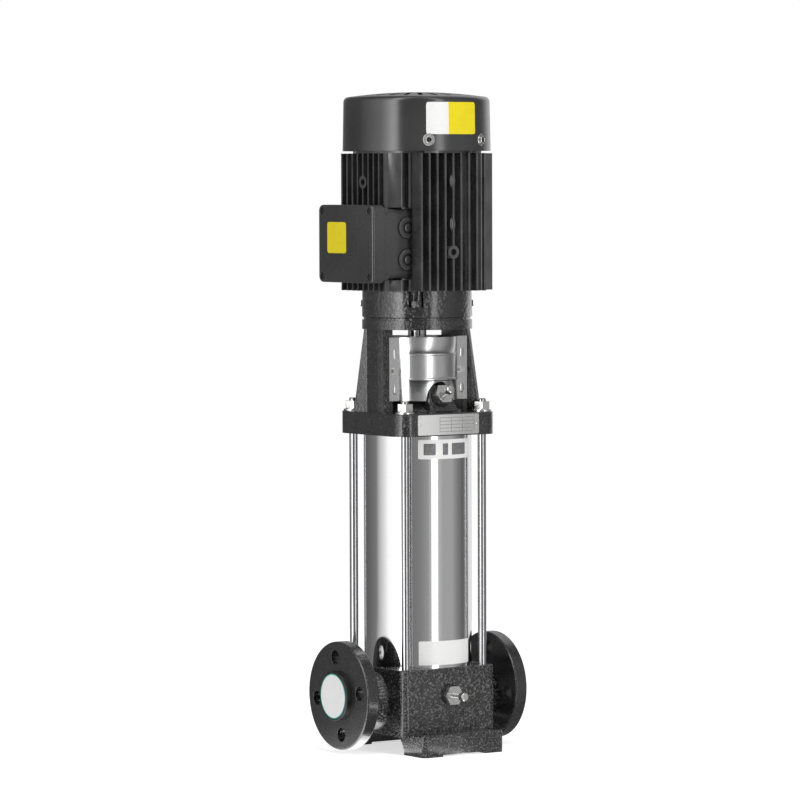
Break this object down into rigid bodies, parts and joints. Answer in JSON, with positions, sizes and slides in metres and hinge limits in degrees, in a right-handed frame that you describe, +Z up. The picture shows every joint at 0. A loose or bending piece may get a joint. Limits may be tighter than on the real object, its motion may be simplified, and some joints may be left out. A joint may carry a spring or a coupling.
{
  "type": "vertical multistage pump",
  "caption": "Slim upright in-line pump: cast base with two round port flanges, stainless sleeve held by staybolts, motor stool, and a finned electric motor on top.",
  "frame": {"origin": "on the floor, in the middle of the four foot bolt holes, under the shaft axis", "axes": "+Z up along the shaft, +X from the suction port to the discharge port, -Y toward the side with the drain plug and the vent plug"},
  "size_m": [0.266, 0.213, 0.852],
  "materials": {
    "black_cast_iron": "rough",
    "black_gloss_casting": "gloss",
    "black_motor_paint": "gloss",
    "polished_stainless": "mirror",
    "bright_stainless": "satin",
    "zinc_plated_steel": "satin",
    "brushed_label": "satin",
    "black_rubber": "matte",
    "black_plastic": "matte",
    "white_plastic": "matte",
    "lamination_steel": "satin",
    "copper_winding": "satin",
    "brass": "satin",
    "seal_carbon": "matte"
  },
  "bodies": {
    "pump_and_motor": {"base": "black_cast_iron", "suction_flange": "black_cast_iron", "discharge_flange": "black_cast_iron", "outer_sleeve": "polished_stainless", "sleeve_o_rings": "black_rubber", "staybolts": "zinc_plated_steel", "staybolt_nuts": "zinc_plated_steel", "staybolt_washers": "zinc_plated_steel", "pump_head": "black_gloss_casting", "motor_stool": "black_gloss_casting", "coupling_guard_front": "polished_stainless", "coupling_guard_back": "polished_stainless", "guard_screws": "zinc_plated_steel", "name_plate": "brushed_label", "drain_plug": "zinc_plated_steel", "vent_plug": "zinc_plated_steel", "plug_washers": "black_rubber", "inlet_chamber": "bright_stainless", "stage_chambers": "bright_stainless", "neck_rings": "seal_carbon", "stack_top_plate": "bright_stainless", "shaft_bush": "seal_carbon", "stack_straps": "bright_stainless", "seal_seat": "seal_carbon", "seal_gland": "bright_stainless", "gland_screws": "zinc_plated_steel", "drive_end_shield": "black_motor_paint", "motor_bolts": "zinc_plated_steel", "stator_frame": "black_motor_paint", "stator_core": "lamination_steel", "windings": "copper_winding", "bearing_outer_rings": "bright_stainless", "non_drive_end_shield": "black_motor_paint", "wave_washer": "bright_stainless", "fan_cover": "black_motor_paint", "fan_cover_screws": "zinc_plated_steel", "terminal_box": "black_motor_paint", "terminal_box_gasket": "black_rubber", "terminal_box_cover": "black_motor_paint", "terminal_box_screws": "zinc_plated_steel", "cable_entry_plugs": "black_plastic", "terminal_board": "black_plastic", "terminal_studs": "brass"},
    "rotor": {"motor_shaft": "bright_stainless", "rotor_core": "lamination_steel", "fan": "white_plastic", "coupling_half_right": "zinc_plated_steel", "coupling_half_left": "zinc_plated_steel", "coupling_screws": "zinc_plated_steel", "coupling_pin": "zinc_plated_steel", "pump_shaft": "bright_stainless", "impellers": "bright_stainless", "distance_tubes": "bright_stainless", "shaft_nut": "bright_stainless", "seal_rotating_ring": "bright_stainless", "bearing_inner_rings": "bright_stainless"},
    "suction_cap": {"port_cap_suction": "black_plastic"},
    "discharge_cap": {"port_cap_discharge": "black_plastic"},
    "vent_stem": {"vent_screw": "zinc_plated_steel"},
    "drain_stem": {"drain_screw": "zinc_plated_steel"}
  },
  "joints": [
    {"name": "rotor_spin", "type": "hinge", "parent": "pump_and_motor", "child": "rotor", "pos_m": [0, 0, 0.5], "axis": [0, 0, 1], "continuous": true},
    {"name": "suction_cap_pull", "type": "slide", "parent": "pump_and_motor", "child": "suction_cap", "axis": [-1, 0, 0], "range_m": [0, 0.04]},
    {"name": "discharge_cap_pull", "type": "slide", "parent": "pump_and_motor", "child": "discharge_cap", "axis": [1, 0, 0], "range_m": [0, 0.04]},
    {"name": "vent_screw_turn", "type": "hinge", "parent": "pump_and_motor", "child": "vent_stem", "pos_m": [0, -0.053, 0.459], "axis": [0, -0.9063, 0.4226], "range_deg": [0, 720]},
    {"name": "drain_screw_turn", "type": "hinge", "parent": "pump_and_motor", "child": "drain_stem", "pos_m": [0, -0.073, 0.075], "axis": [0, -1, 0], "range_deg": [0, 720]}
  ]
}
